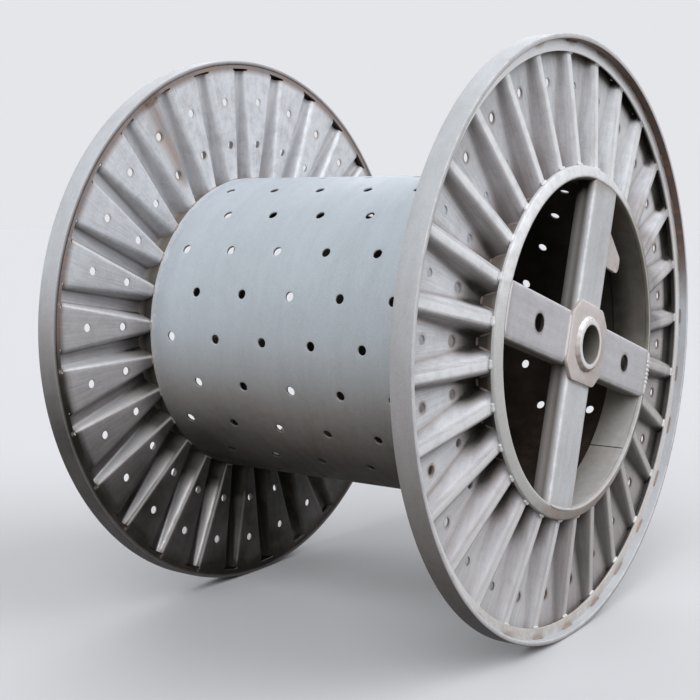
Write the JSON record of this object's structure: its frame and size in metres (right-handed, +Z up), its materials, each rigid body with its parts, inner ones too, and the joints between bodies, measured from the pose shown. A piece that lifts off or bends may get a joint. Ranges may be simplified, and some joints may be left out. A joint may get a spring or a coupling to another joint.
{
  "type": "perforated steel cable drum",
  "caption": "Welded steel cable drum with a perforated barrel, corrugated flanges in rolled rims, and a channel cross with a bored hub at each end, lying on its rims.",
  "frame": {"origin": "on the floor under the middle of the drum", "axes": "+X along the drum axis towards the right end, +Z up, -Y the front"},
  "size_m": [0.984, 1.2499, 1.2499],
  "materials": {
    "drum_steel": "dull mill finish",
    "rim_steel": "dull mill finish, brown at the welds",
    "cross_steel": "dull mill finish",
    "hub_steel": "light rust"
  },
  "bodies": {
    "root": {"barrel": "drum_steel", "flange_sheet_right": "drum_steel", "flange_sheet_left": "drum_steel", "rim_bar_right": "rim_steel", "rim_bar_left": "rim_steel", "rim_ring_right": "rim_steel", "rim_ring_left": "rim_steel", "collar_right": "drum_steel", "collar_left": "drum_steel", "cross_channel_right": "cross_steel", "cross_channel_left": "cross_steel", "upper_strut_right": "cross_steel", "upper_strut_left": "cross_steel", "lower_strut_right": "cross_steel", "lower_strut_left": "cross_steel", "hub_plate_right": "hub_steel", "hub_plate_left": "hub_steel", "hub_bush_right": "hub_steel", "hub_bush_left": "hub_steel", "side_lug": "hub_steel"}
  },
  "joints": []
}
